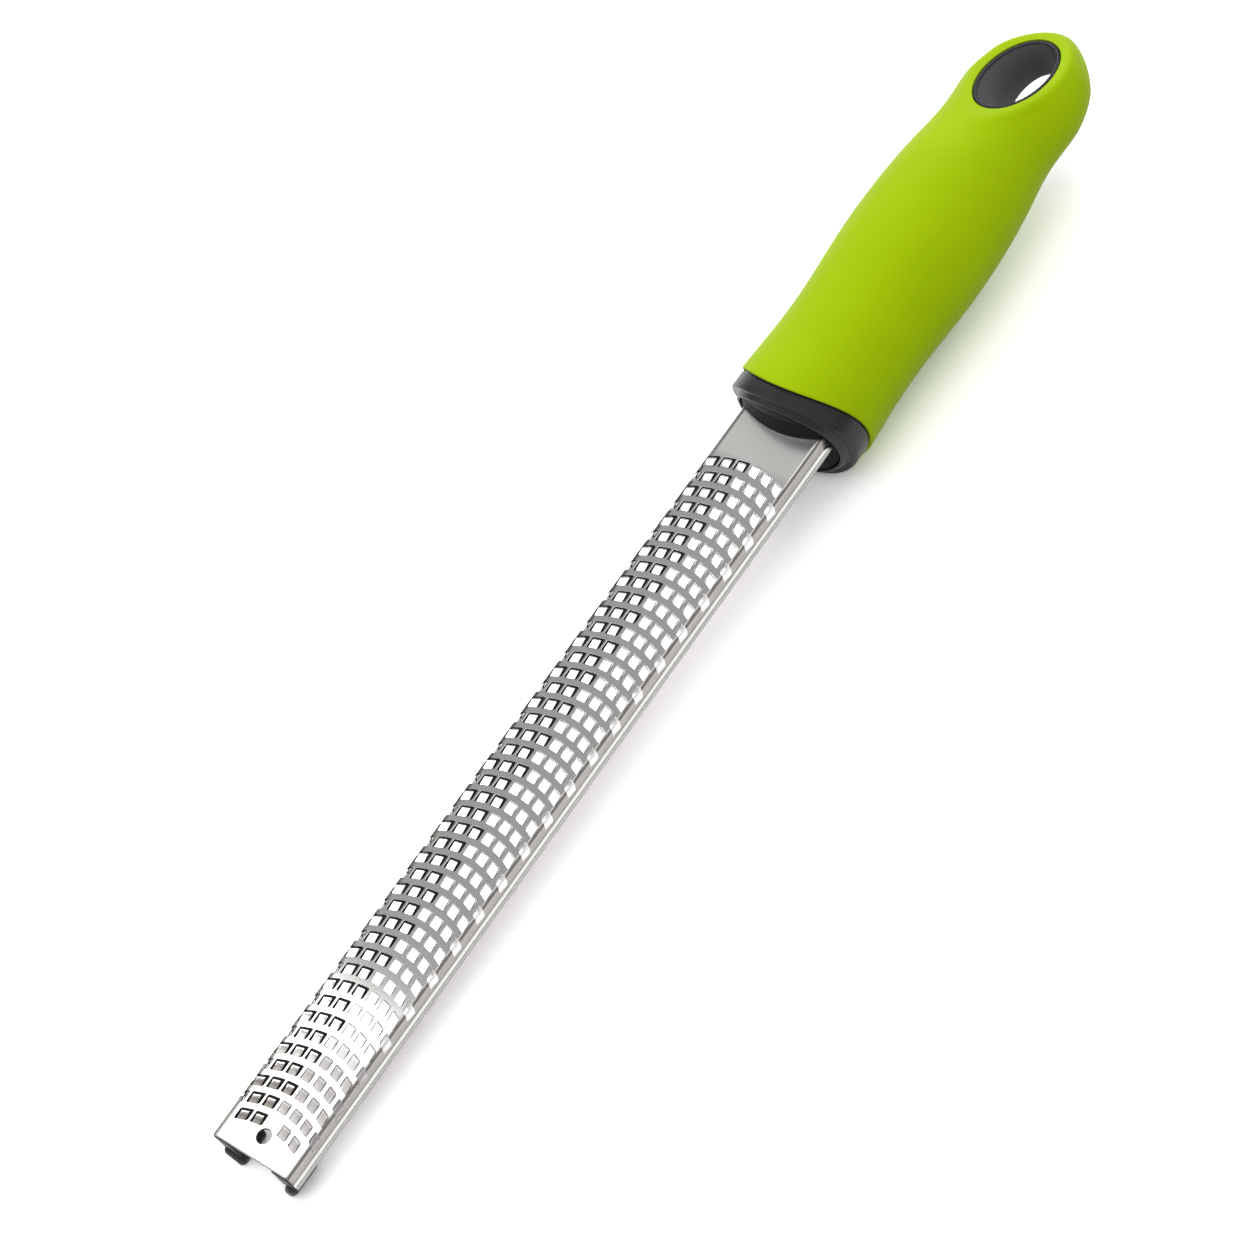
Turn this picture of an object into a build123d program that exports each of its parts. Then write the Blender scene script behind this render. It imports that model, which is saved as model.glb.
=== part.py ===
from build123d import *
import math
import os

# A rasp zester. Millimetres, +Z up, +Y from the tip to the handle's end, +X to the right.
# It is drawn along a straight line first, with the blade's front edge at y = 0 and the top of
# the sheet at z = 0, and then tipped until its feet and its handle stand on z = 0.

# Blade
sheet_thickness = 0.5
blade_half_width = 11.8
blade_length = 204.6
shoulder_radius = 1.0
wall_height = 4.3
bead_radius = 0.85
tang_width = 19.0
tang_full_width_length = 6.0
tang_length = 36.0
tip_hole_radius = 1.75
tip_hole_setback = 5.35

# Teeth
tooth_pitch = 3.9
row_pitch = 4.32
first_row_setback = 12.8
blank_length = 14.5
row_bow = 0.02
opening_width = 3.3
opening_length = 2.8
slot_width = 0.4
flap_rise = 0.45
columns_in_long_row = 7
columns_in_short_row = 6

# Rubber feet
foot_bar_radius = 1.5
foot_top_offset = 9.6
foot_top_drop = 6.5
foot_bottom_offset = 7.8
foot_bottom_drop = 8.9
foot_reach = 1.4
foot_length = 9.0
foot_nose_radius = 1.2
foot_block_width = 4.6
foot_block_reach = 0.25
foot_flat = 0.3

# Handle, whose middle lies below the sheet
handle_overlap = 3.2
handle_length = 119.6
handle_drop = 4.2
handle_end_rise = 1.7
handle_half_width = 18.3
handle_half_height = 15.2
grip_thickness = 1.8
core_wall = 2.0
grip_lip_radius = 0.6

# Stations along the handle: distance, half width, half height and rise of the middle, each as a
# share of the handle's length, its half width, its half height and its end rise
handle_shares = [
    (0.000, 1.000, 1.000, 0.00),
    (0.090, 0.988, 0.988, 0.05),
    (0.150, 0.962, 0.961, 0.10),
    (0.215, 0.942, 0.941, 0.17),
    (0.280, 0.945, 0.944, 0.24),
    (0.345, 0.969, 0.968, 0.32),
    (0.410, 0.992, 0.991, 0.41),
    (0.470, 1.000, 0.999, 0.48),
    (0.530, 0.992, 0.984, 0.56),
    (0.590, 0.968, 0.953, 0.66),
    (0.650, 0.926, 0.903, 0.76),
    (0.700, 0.878, 0.845, 0.85),
    (0.745, 0.852, 0.806, 0.91),
    (0.790, 0.863, 0.780, 0.95),
    (0.838, 0.873, 0.762, 1.00),
    (0.878, 0.822, 0.711, 1.00),
    (0.915, 0.724, 0.648, 1.00),
    (0.948, 0.560, 0.520, 0.98),
    (0.975, 0.365, 0.345, 0.95),
    (0.992, 0.190, 0.180, 0.92),
    (1.000, 0.060, 0.055, 0.90),
]

# Mouth of the handle: each face is rounded in plan, and its middle reaches furthest forward.
# Setbacks are measured from the end of the blade's side walls, towards the handle.
sleeve_setback = 2.4
collar_setback = -2.65
plug_face_setback = -2.5
collar_half_width = 17.6
collar_half_height = 14.5
collar_bevel_length = 1.05
collar_bevel_width = 1.9
face_radius = 33.3
collar_face_radius = 45.0
flange_half_width = 13.85
flange_half_height = 12.3
plug_half_width = 12.4
plug_half_height = 9.8
plug_length = 37.9
tongue_reach = 1.25
tongue_radius = 25.6
tongue_slope = 1.45
tongue_height = 4.2
tongue_half_width = 11.6
pin_radius = 1.5
pin_length = 16.0
pin_hole_rise = 12.0
pin_place_shares = (0.393, 0.789)

# Hanging eye
eye_setback = 17.5
eye_half_length = 12.7
eye_half_width = 8.7
eye_half_height = 10.9
eye_rim_width = 1.0
throat_half_length = 10.2
throat_half_width = 6.3
throat_height = 3.0
eye_mouth_half_length = 12.0
eye_mouth_half_width = 9.3
liner_proud = 0.25
liner_foot_half_width = 10.3
boss_wall = 3.0

overrun = 5.0

handle_start = blade_length - handle_overlap
handle_end = handle_start + handle_length
sleeve_place = blade_length + sleeve_setback
collar_place = blade_length + collar_setback
plug_face_place = blade_length + plug_face_setback
plug_end = plug_face_place + plug_length
tongue_place = plug_face_place - tongue_reach
eye_place = handle_end - eye_setback


def cross_plane(y, z=0.0):
    """Plane across the tool at y, with its own x to the right and its own y downwards."""
    return Plane(origin=(0, y, z), x_dir=(1, 0, 0), z_dir=(0, 1, 0))


def oval(y, z, half_width, half_height):
    return cross_plane(y, z) * Ellipse(half_width, half_height)


def handle_sections(inset, last_share=1.0):
    """Ovals along the handle, drawn inwards by inset."""
    sections = []
    for along, wide, high, rise in handle_shares:
        half_width = wide * handle_half_width - inset
        half_height = high * handle_half_height - inset
        if min(half_width, half_height) <= 0 or along > last_share:
            continue
        y = handle_start + along * handle_length
        z = rise * handle_end_rise - handle_drop
        sections.append(oval(y, z, half_width, half_height))
    return sections


def handle_body(inset):
    return loft(handle_sections(inset))


def slab(y_low, y_high):
    """Block that spans the whole tool across, between two places along it."""
    width = 4 * handle_half_width
    height = 8 * handle_half_height
    middle = Location((0, (y_low + y_high) / 2, -handle_drop))
    return middle * Box(width, y_high - y_low, height)


def profile_solid(sketch, y_low, y_high):
    """Solid of a sketch drawn in x and z, between two places along the tool."""
    return extrude(Plane.XZ.offset(-y_low) * sketch, y_low - y_high)


def channel_section():
    """Cross section of the blade: sheet, rounded shoulders, walls and their rolled beads."""
    inner_half_width = blade_half_width - sheet_thickness
    inner_height = wall_height - sheet_thickness
    outer = Pos(0, -wall_height / 2) * Rectangle(2 * blade_half_width, wall_height)
    outer = fillet(outer.vertices().group_by(Axis.Y)[-1], shoulder_radius)
    inner = Pos(0, -sheet_thickness - inner_height / 2) * Rectangle(2 * inner_half_width, inner_height)
    inner = fillet(inner.vertices().group_by(Axis.Y)[-1], shoulder_radius - sheet_thickness)
    section = outer - inner
    for side in (-1, 1):
        section += Pos(side * blade_half_width, -wall_height) * Circle(bead_radius)
    return section


def tooth_places():
    """Middle of each opening, and the slant of its row there."""
    places = []
    toothed_length = blade_length - first_row_setback - blank_length
    row_count = 1 + int(toothed_length / row_pitch)
    for row in range(row_count + 1):
        along = first_row_setback + (row - 1) * row_pitch
        columns = columns_in_short_row if row and row % 2 == 0 else columns_in_long_row
        for index in range(columns):
            column = index - (columns - 1) / 2
            if row == 0 and (column == 0 or abs(column) > 2):
                continue
            x = column * tooth_pitch
            places.append((x, along - row_bow * x * x, -2 * row_bow * x))
    return places


def slanted_bar(outline, x, y, slant, width):
    """Bar across a row: an outline in y and z, drawn out along the row over a width."""
    face = Plane(origin=(x - width / 2, y - slant * width / 2, 0), x_dir=(0, 1, 0), z_dir=(1, 0, 0))
    direction = Vector(1, slant, 0)
    return extrude(face * outline, width * direction.length, dir=direction)


def tooth_cut(x, y, slant):
    outline = Rectangle(opening_length, 2 * shoulder_radius)
    return slanted_bar(outline, x, y, slant, opening_width)


def tooth_flap(x, y, slant):
    """Tongue that starts at the tip side of its opening and rises towards the handle."""
    hinge = -opening_length / 2
    edge = opening_length / 2 - slot_width
    outline = Polygon(
        (hinge, -sheet_thickness),
        (edge, flap_rise - sheet_thickness),
        (edge, flap_rise),
        (hinge, 0),
        align=None,
    )
    reach = blade_half_width + bead_radius / 2
    width = opening_width - 2 * slot_width
    low = max(x - width / 2, -reach)
    high = min(x + width / 2, reach)
    middle = (low + high) / 2
    return slanted_bar(outline, middle, y + slant * (middle - x), slant, high - low)


def make_blade():
    blade = profile_solid(channel_section(), 0, blade_length)
    places = tooth_places()
    blade -= [tooth_cut(*place) for place in places]
    blade += [tooth_flap(*place) for place in places]
    blade -= Pos(0, tip_hole_setback, 0) * Cylinder(tip_hole_radius, 2 * overrun)
    return blade + make_tang()


def make_rails(blade):
    """The two side walls with their beads, below the rounded shoulders, as pieces of their own."""
    middle = Location((0, blade_length / 2, -shoulder_radius - overrun))
    below = middle * Box(4 * blade_half_width, blade_length, 2 * overrun)
    walls = blade & below
    left, right = walls.solids().sort_by(Axis.X)
    return blade - below, left, right


def make_tang():
    """Flat end of the sheet inside the handle: full width first, then narrower."""
    shoulder = Pos(0, blade_length + tang_full_width_length / 2, -sheet_thickness / 2)
    tail = Pos(0, blade_length + tang_length / 2, -sheet_thickness / 2)
    full_width = 2 * (blade_half_width - shoulder_radius)
    tang = shoulder * Box(full_width, tang_full_width_length, sheet_thickness)
    tang += tail * Box(tang_width, tang_length, sheet_thickness)
    return tang - pin_bars()


def pin_bars():
    """Two upright pins through plug and tang."""
    places = [plug_face_place + share * plug_length for share in pin_place_shares]
    return [Pos(0, place, -handle_drop) * Cylinder(pin_radius, pin_length) for place in places]


def make_foot(side):
    """Rubber foot: a block in the corner of the channel and a bar that leans in below it."""
    top = (side * foot_top_offset, -foot_top_drop)
    bottom = (side * foot_bottom_offset, -foot_bottom_drop)
    lean = math.degrees(math.atan2(top[1] - bottom[1], top[0] - bottom[0]))
    middle = Pos((top[0] + bottom[0]) / 2, (top[1] + bottom[1]) / 2)
    spread = math.dist(top, bottom)
    bar_outline = middle * Rot(0, 0, lean) * SlotCenterToCenter(spread, 2 * foot_bar_radius)
    bar = profile_solid(bar_outline, -foot_reach, foot_length - foot_reach)
    bar = fillet(bar.edges().filter_by(Plane.XZ), foot_nose_radius)
    outside = blade_half_width - sheet_thickness
    block_height = foot_top_drop - sheet_thickness
    block_outline = Pos(side * (outside - foot_block_width / 2), -sheet_thickness - block_height / 2)
    block_outline = block_outline * Rectangle(foot_block_width, block_height)
    block = profile_solid(block_outline, -foot_block_reach, foot_length - foot_reach - foot_nose_radius)
    return block + bar


def oval_prism(half_width, half_height, y_low, y_high):
    """Oval bar round the handle's middle line at its mouth."""
    return profile_solid(Pos(0, -handle_drop) * Ellipse(half_width, half_height), y_low, y_high)


def behind(place, radius):
    """All that lies behind a face rounded in plan, whose middle is at place."""
    height = 8 * handle_half_height
    front = Pos(0, place + radius, -handle_drop) * Cylinder(radius, height)
    return front + slab(place + radius, handle_end + overrun)


def make_plug(tang, pins):
    """Insert that holds the tang: a flange in the collar, a stem behind it, a tongue in front."""
    flange = oval_prism(flange_half_width, flange_half_height, blade_length - overrun, plug_end)
    stem = oval_prism(plug_half_width, plug_half_height, sleeve_place, plug_end)
    face = behind(plug_face_place, face_radius)
    plug = (flange & face) - behind(sleeve_place, face_radius) + stem
    plug += make_tongue() & flange
    pin_holes = [pin.moved(Location((0, 0, pin_hole_rise))) + pin for pin in pins]
    return plug - tang - pin_holes


def make_tongue():
    """Crescent in front of the plug: its edge is one arc, and its top slopes up to the plug."""
    middle = Pos(0, tongue_place + tongue_radius, tongue_height / 2)
    cone = middle * Cone(tongue_radius, tongue_radius - tongue_slope, tongue_height)
    reach = slab(tongue_place - overrun, sleeve_place)
    width = Pos(0, tongue_place, 0) * Box(2 * tongue_half_width, 4 * overrun, 4 * overrun)
    return cone & reach & width


def make_collar():
    """Ring at the mouth, a little smaller than the sleeve, with a bevel round its front."""
    front = blade_length - overrun
    back = sleeve_place + overrun
    ring = oval_prism(collar_half_width, collar_half_height, front, back)
    ring &= behind(collar_place, collar_face_radius)
    face = ring.faces().sort_by(Axis.Y)[0]
    ring = chamfer(face.edges(), collar_bevel_length, collar_bevel_width, reference=face)
    ring -= behind(sleeve_place, face_radius)
    return ring - oval_prism(flange_half_width, flange_half_height, front, back)


def eye_cone(low, high):
    """Straight-sided oval hole between two levels, each given as height, half width, half length."""
    rings = []
    for height, half_width, half_length in (low, high):
        plane = Plane(origin=(0, eye_place, height), x_dir=(1, 0, 0), z_dir=(0, 0, 1))
        rings.append(plane * Ellipse(half_width, half_length))
    return loft(rings, ruled=True)


def carried_on(start, end, distance):
    """The level reached when the line from start to end goes on by distance in height."""
    share = distance / (end[0] - start[0])
    return tuple(b + (b - a) * abs(share) for a, b in zip(start, end))


def eye_levels():
    """Top rim, throat and bottom mouth of the eye."""
    middle = handle_end_rise - handle_drop
    top = (middle + eye_half_height, eye_half_width, eye_half_length)
    bottom = (middle - eye_half_height, liner_foot_half_width, eye_half_length)
    return top, bottom


def liner_outside():
    top, bottom = eye_levels()
    return eye_cone(carried_on(top, bottom, overrun), carried_on(bottom, top, overrun))


def eye_funnel():
    """The open way through the eye: it narrows to a throat and widens again."""
    top, bottom = eye_levels()
    rim = (top[0], eye_half_width - eye_rim_width, eye_half_length - eye_rim_width)
    mouth = (bottom[0], eye_mouth_half_width, eye_mouth_half_length)
    throat = (throat_height, throat_half_width, throat_half_length)
    upper = eye_cone(throat, carried_on(throat, rim, overrun))
    lower = eye_cone(carried_on(throat, mouth, overrun), throat)
    return upper + lower


def make_handle():
    """Core, sleeve and eye liner, which share their surfaces."""
    behind_collar = behind(sleeve_place, face_radius)
    outside = handle_body(0)
    core_outside = handle_body(grip_thickness)
    liner_body = liner_outside()
    grip = (outside & behind_collar) - core_outside - liner_body
    lip = grip.faces().sort_by(Axis.Y)[0].outer_wire().edges()
    grip = fillet(lip, grip_lip_radius)
    boss_start = eye_place - eye_half_length - boss_wall
    cavity = handle_body(grip_thickness + core_wall) & slab(plug_end, boss_start)
    mouth = oval_prism(plug_half_width, plug_half_height, sleeve_place, plug_end)
    core = (core_outside & behind_collar) - cavity - mouth - liner_body
    liner = (liner_body & handle_body(-liner_proud)) - eye_funnel()
    return core, grip, liner


def make_parts():
    blade = make_blade()
    sheet, rail_left, rail_right = make_rails(blade)
    pins = pin_bars()
    core, grip, liner = make_handle()
    return {
        "blade": sheet,
        "rail_left": rail_left,
        "rail_right": rail_right,
        "foot_left": make_foot(-1) - blade,
        "foot_right": make_foot(1) - blade,
        "blade_plug": make_plug(blade, pins),
        "collar": make_collar(),
        "tang_pins": Part(children=pins),
        "handle_core": core,
        "grip": grip,
        "eye_liner": liner,
    }


def stand_up(parts):
    """Tip the tool onto its feet and its handle, and put the origin under its middle."""
    foot_y = foot_nose_radius - foot_reach
    foot_drop = foot_bottom_drop + foot_bar_radius - foot_flat
    lip_y = sleeve_place + grip_lip_radius
    lip_drop = handle_drop + handle_half_height
    tilt = math.degrees(math.atan2(lip_drop - foot_drop, lip_y - foot_y))
    tipped = {name: Rot(tilt, 0, 0) * solid for name, solid in parts.items()}
    ground = tipped["grip"].bounding_box().min.Z
    below = Pos(0, 0, ground - overrun) * Box(4 * handle_half_width, 4 * handle_length, 2 * overrun)
    for name in ("foot_left", "foot_right"):
        tipped[name] = tipped[name] - below
    boxes = [solid.bounding_box() for solid in tipped.values()]
    middle_y = (min(box.min.Y for box in boxes) + max(box.max.Y for box in boxes)) / 2
    print("tilt", round(tilt, 4), "front edge at", round(-middle_y, 3), round(-ground, 3))
    return {name: Pos(0, -middle_y, -ground) * solid for name, solid in tipped.items()}


os.makedirs("parts", exist_ok=True)
for node, solid in stand_up(make_parts()).items():
    export_step(solid, os.path.join("parts", node + ".step"))
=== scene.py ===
import math

import bmesh
import bpy
import numpy as np
from mathutils import Matrix, Vector, geometry


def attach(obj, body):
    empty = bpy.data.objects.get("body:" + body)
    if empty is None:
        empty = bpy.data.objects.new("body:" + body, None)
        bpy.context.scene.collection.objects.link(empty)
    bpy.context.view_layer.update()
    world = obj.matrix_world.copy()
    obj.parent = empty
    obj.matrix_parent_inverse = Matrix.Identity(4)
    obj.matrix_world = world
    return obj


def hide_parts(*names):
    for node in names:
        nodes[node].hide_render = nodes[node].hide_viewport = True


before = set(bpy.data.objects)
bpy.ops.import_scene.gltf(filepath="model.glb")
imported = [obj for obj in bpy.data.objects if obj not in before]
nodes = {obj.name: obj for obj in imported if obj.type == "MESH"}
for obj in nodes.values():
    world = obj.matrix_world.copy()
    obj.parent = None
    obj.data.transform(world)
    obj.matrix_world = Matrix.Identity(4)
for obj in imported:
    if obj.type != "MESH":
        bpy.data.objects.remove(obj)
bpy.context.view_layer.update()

# Everything is drawn in the tool's own straight frame, in millimetres: y from the blade's front edge
# to the handle's end, z up from the top of the sheet. PLACE then puts it where the CAD stands.
TILT = math.radians(2.5625)
FRONT_HEIGHT = 9.926
PLACE = (
    Matrix.Translation((0, -0.159857, FRONT_HEIGHT / 1000))
    @ Matrix.Rotation(TILT, 4, "X")
    @ Matrix.Scale(0.001, 4)
)

# Blade: its section has a flat top, a quarter circle at each shoulder and a straight side wall
SHEET = 0.5
HALF_WIDTH = 11.8
LENGTH = 204.6
SHOULDER = 1.05
WALL_END = 3.6
FLAT = HALF_WIDTH - SHOULDER
ARC = SHOULDER * math.pi / 2
SHEET_EDGE = FLAT + ARC + WALL_END - SHOULDER
WALL_LINE = 0.6
TOUCHING = 1e-4

# Rolled beads along the walls: radius, depth of the axis and how far it lies inside the wall
BEAD_RADIUS = 1.1
BEAD_DROP = 4.05
BEAD_INSET = 0.25
BEAD_STEPS = 18
BEAD_FIRST = 75
BEAD_TURN = 300
BEAD_CHAMFER = 0.12

# Painted shade: dark lines on the flat's left edge and front edge and a dark part of the shoulder's
# bend. Then the start of the blank place by the handle
EDGE_LINE = 0.4
FRONT_LINE = 0.35
FOLD_SHARE = (0.3, 0.6)
BLANK_START = 191.5

TIP_HOLE_Y = 5.35
TIP_HOLE_RADIUS = 1.75
TIP_HOLE_RIM = 0.18
TIP_HOLE_STEPS = 48
TIP_HOLE_MARGIN = 0.5

# Teeth
TOOTH_PITCH = 3.9
ROW_PITCH = 4.32
ROWS = 42
FIRST_ROW = 12.8
BOW = 0.02
RIM = 0.09
CORNER = 0.35
PLATE_RISE = 0.1
# Pairs: left of OPEN_SIDE the openings are wide and painted dark as shade, right of it their
# flaps nearly fill them
OPEN_SIDE = -1.0
OPENINGS = ((3.3, 2.8), (2.8, 2.75))
SIDE_SLOTS = (0.55, 0.12)
END_SLOTS = (0.65, 0.2)

# Flaps: they rise more where they nearly fill their openings, from STEEPER_START on
RISE = 0.35
STEEPER = 0.14
STEEPER_START = 130
STEEPER_SPAN = 60
FLAP_SHIFT = 0.08
FLAP_THICKNESS = 0.34
FLAP_TAPER = 0.06
FLAP_CORNER = 0.16
FLAP_CURL = 1.15
FLAP_EDGE_DROP = 0.05
FLAP_ROWS = [0.0, 0.2, 0.4, 0.6, 0.8, 0.93, 1.0]
FLAP_COLUMNS = [-1.0, -0.86, -0.4, 0.0, 0.4, 0.86, 1.0]
# Flaps up to the place below carry painted shade, darker at the tip: on the left their borders
# and their first rows from the hinge, on the right all of them
FLAP_SHADE_END = 38.0
FLAP_SHADE_ROWS = 3

# Handle: share of its length, then half width, half height and rise of the middle as shares of
# HALF_SIZE and END_RISE
HANDLE_START = 201.4
HANDLE_LENGTH = 119.6
HANDLE_END = HANDLE_START + HANDLE_LENGTH
STATIONS = [
    (0.000, 1.000, 1.000, 0.00),
    (0.090, 0.988, 0.988, 0.05),
    (0.150, 0.962, 0.961, 0.10),
    (0.215, 0.942, 0.941, 0.17),
    (0.280, 0.945, 0.944, 0.24),
    (0.345, 0.969, 0.968, 0.32),
    (0.410, 0.992, 0.991, 0.41),
    (0.470, 1.000, 0.999, 0.48),
    (0.530, 0.992, 0.984, 0.56),
    (0.590, 0.968, 0.953, 0.66),
    (0.650, 0.926, 0.903, 0.76),
    (0.700, 0.878, 0.845, 0.85),
    (0.745, 0.852, 0.806, 0.91),
    (0.790, 0.863, 0.780, 0.95),
    (0.838, 0.873, 0.762, 1.00),
    (0.878, 0.822, 0.711, 1.00),
    (0.915, 0.724, 0.648, 1.00),
    (0.948, 0.560, 0.520, 0.98),
    (0.975, 0.365, 0.345, 0.95),
    (0.992, 0.190, 0.180, 0.92),
    (1.000, 0.060, 0.055, 0.90),
]
HALF_SIZE = (18.3, 15.2)
DROP = 4.2
END_RISE = 1.7
FACE_RADIUS = 33.3

# Sleeve: the rolled lip of its mouth, as inset and distance behind the front
SLEEVE_FRONT = 207.0
SLEEVE_STEPS = 320
LIP = [
    (1.15, 0.75), (0.95, 0.32), (0.7, 0.14), (0.5, 0.03), (0.32, 0.0),
    (0.17, 0.06), (0.06, 0.2), (0.01, 0.38), (0.0, 0.6),
]
MOUTH_REACH = 30

# Collar and plug: oval half sizes, and profiles as a share of the way in (or of the oval) and a
# distance along the tool
OVAL_STEPS = 192
COLLAR_RADIUS = 45.0
COLLAR = (17.6, 14.5)
COLLAR_BACK = SLEEVE_FRONT + 0.02
COLLAR_BEHIND = [
    (0.2, COLLAR_BACK + 0.5), (0.2, COLLAR_BACK - 0.3),
    (0.02, COLLAR_BACK - 0.4), (0.0, COLLAR_BACK - 0.55),
]
COLLAR_EDGE = (0.14, 203.4, 0.45)
COLLAR_FACE = [
    (0.24, 203.05), (0.4, 203.3), (0.5, 203.32), (0.58, 203.1), (0.66, 202.5),
    (0.74, 202.12), (0.8, 202.0), (0.88, 202.0), (0.94, 202.14), (0.97, 202.5),
]
FLANGE = (13.85, 12.3)
PLUG_FACE = 202.15
PLUG_PROFILE = [
    (1.0, 4.0), (1.0, 0.35), (0.985, 0.1), (0.965, 0.0), (0.8, 0.0),
    (0.6, 0.0), (0.4, 0.0), (0.2, 0.0), (0.04, 0.0),
]

# Tongue: shares of its height and of its way back to the plug's face
TONGUE_FRONT = 200.85
TONGUE_RADIUS = 25.6
TONGUE_HALF_WIDTH = 11.6
TONGUE_HEIGHT = 4.3
TONGUE_COLUMNS = 61
TONGUE_SINK = 0.02
TONGUE_PROFILE = [
    (0.0, 0.0), (0.07, 0.0), (0.11, 0.03), (0.15, 0.09), (0.3, 0.3),
    (0.5, 0.52), (0.7, 0.72), (0.86, 0.86), (0.96, 0.97), (1.0, 1.08),
]

# Hanging eye: its ring lies in a plane that falls towards the end of the handle
EYE_Y = 303.55
EYE_HEIGHT = 5.65
EYE_SLOPE = -0.237
EYE = (8.6, 12.45)
EYE_STEPS = 160
DISH_REACH = 0.42
DISH_MARGIN = 0.2
DISH_LIFT = 0.15
# Ring: inset from the eye's outline and depth under its plane
EYE_RING = [
    (-0.25, 2.2), (-0.05, 1.3), (0.1, 1.0), (0.15, 0.4), (0.26, 0.1), (0.4, 0.0), (0.5, 0.02),
    (0.58, 0.12), (0.64, 0.12), (0.72, 0.02), (0.9, 0.0), (1.02, 0.1), (1.1, 0.35),
]
# First rows of the ring, painted black as shade in the gap by the sleeve
GAP_ROWS = 3
# Half width, half length, middle and height
EYE_WAIST = (7.3, 10.6, 304.3, 0.0)
EYE_THROAT = (5.9, 9.0, 305.6, -8.2)
# Flange on the underside: half width, half length and how far it stands out of the sleeve
UNDER_EYE_Y = 303.5
UNDER_EYE = [
    (9.35, 12.05, -0.1), (9.6, 12.2, 0.2), (10.2, 12.6, 0.25), (10.45, 12.9, 0.1), (10.5, 12.95, -0.4),
]
CUTTER_STEPS = 128
CUTTER_GAP = 0.1
CUTTER_REACH = 24.0
CUTTER_BOTTOM = (11.4, 12.9)

# Colour of the floor for light that it throws, and as seen directly or in metal
FLOOR_HALF_SIZE = 30.0
FLOOR_LIT = (0.45, 0.45, 0.45, 1)
FLOOR_SEEN = (1.8, 1.77, 1.8, 1)

# World: brightness by height, dimmed on one side
SKY = [(0.0, 0.3), (0.35, 0.5), (0.75, 0.92), (1.0, 0.95)]
DARK = 0.5
DARK_SIDE = Vector((-0.82, 0.05, 0.5)).normalized()
DARK_EDGE = (0.52, 0.72)

# Soft lamps: name, place, aim, size and radiance
SOFTBOXES = [
    ("key", (-0.91, -0.19, 1.26), (0, -0.19, 0), (0.46, 1.2), 2.8),
    ("fill", (-0.9, -1.2, 0.65), (0, 0, 0), (0.9, 0.9), 1.0),
    ("side", (-0.9, 1.25, 0.6), (0, 0.1, 0), (0.8, 0.8), 5.5),
    ("edge", (1.23, 0.1, 0.9), (0, 0.1, 0), (1.8, 0.4), 0.4),
]

# Camera, from the photograph's fit, in the straight frame
CAMERA_LENS = 120.42
CAMERA_SPOT = Vector((533.343, -84.932, 731.234))
CAMERA_RIGHT = Vector((0.73819386, 0.56948533, -0.36160239))
CAMERA_UP = Vector((-0.35711842, 0.78466442, 0.50672299))
CAMERA_BACK = Vector((0.57230783, -0.24492492, 0.78260816))


# Shape of the handle


def spline(xs, ys):
    """Natural cubic spline through the points, as a function on arrays."""
    xs = np.asarray(xs, float)
    ys = np.asarray(ys, float)
    n = len(xs)
    h = np.diff(xs)
    system = np.zeros((n, n))
    right = np.zeros(n)
    system[0, 0] = system[-1, -1] = 1
    for i in range(1, n - 1):
        system[i, i - 1 : i + 2] = h[i - 1], 2 * (h[i - 1] + h[i]), h[i]
        right[i] = 6 * ((ys[i + 1] - ys[i]) / h[i] - (ys[i] - ys[i - 1]) / h[i - 1])
    m = np.linalg.solve(system, right)

    def value(x):
        x = np.asarray(x, float)
        i = np.clip(np.searchsorted(xs, x) - 1, 0, n - 2)
        a = (xs[i + 1] - x) / h[i]
        b = (x - xs[i]) / h[i]
        bend = ((a**3 - a) * m[i] + (b**3 - b) * m[i + 1]) * h[i] ** 2 / 6
        return a * ys[i] + b * ys[i + 1] + bend

    return value


def end_root(share):
    """Root of the distance from the end, on which the splines run, as the end closes like a dome."""
    return np.sqrt(np.clip(1 - np.asarray(share, float), 0, None) + 0.0004)


station_roots = [float(end_root(s[0])) for s in STATIONS][::-1]
half_width_at = spline(station_roots, [s[1] * HALF_SIZE[0] for s in STATIONS][::-1])
half_height_at = spline(station_roots, [s[2] * HALF_SIZE[1] for s in STATIONS][::-1])
middle_at = spline(station_roots, [s[3] * END_RISE - DROP for s in STATIONS][::-1])


def handle_at(y):
    """Half width, half height and middle of the handle at y."""
    root = end_root((np.asarray(y, float) - HANDLE_START) / HANDLE_LENGTH)
    return half_width_at(root), half_height_at(root), middle_at(root)


def bottom_of_handle(x, y):
    wide, high, middle = handle_at(y)
    return middle - high * np.sqrt(np.clip(1 - (x / wide) ** 2, 0, 1))


# Meshes


def new_object(name, points, faces, materials, face_materials=None, sharp=35.0):
    """Mesh object from points in the straight frame."""
    moved = [PLACE @ Vector(p) for p in points]
    mesh = bpy.data.meshes.new(name)
    mesh.from_pydata(moved, [], faces)
    for m in materials:
        mesh.materials.append(m)
    if face_materials is not None:
        mesh.polygons.foreach_set("material_index", face_materials)
    bm = bmesh.new()
    bm.from_mesh(mesh)
    bmesh.ops.remove_doubles(bm, verts=bm.verts, dist=1e-7)
    bmesh.ops.recalc_face_normals(bm, faces=bm.faces)
    bm.to_mesh(mesh)
    bm.free()
    smooth_by_angle(mesh, sharp)
    mesh.update()
    obj = bpy.data.objects.new(name, mesh)
    bpy.context.scene.collection.objects.link(obj)
    return obj


def smooth_by_angle(mesh, sharp):
    mesh.polygons.foreach_set("use_smooth", [True] * len(mesh.polygons))
    mesh.set_sharp_from_angle(angle=math.radians(sharp))


def carried(obj, slot, *stands_for):
    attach(obj, "root")
    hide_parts(*stands_for)


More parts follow.
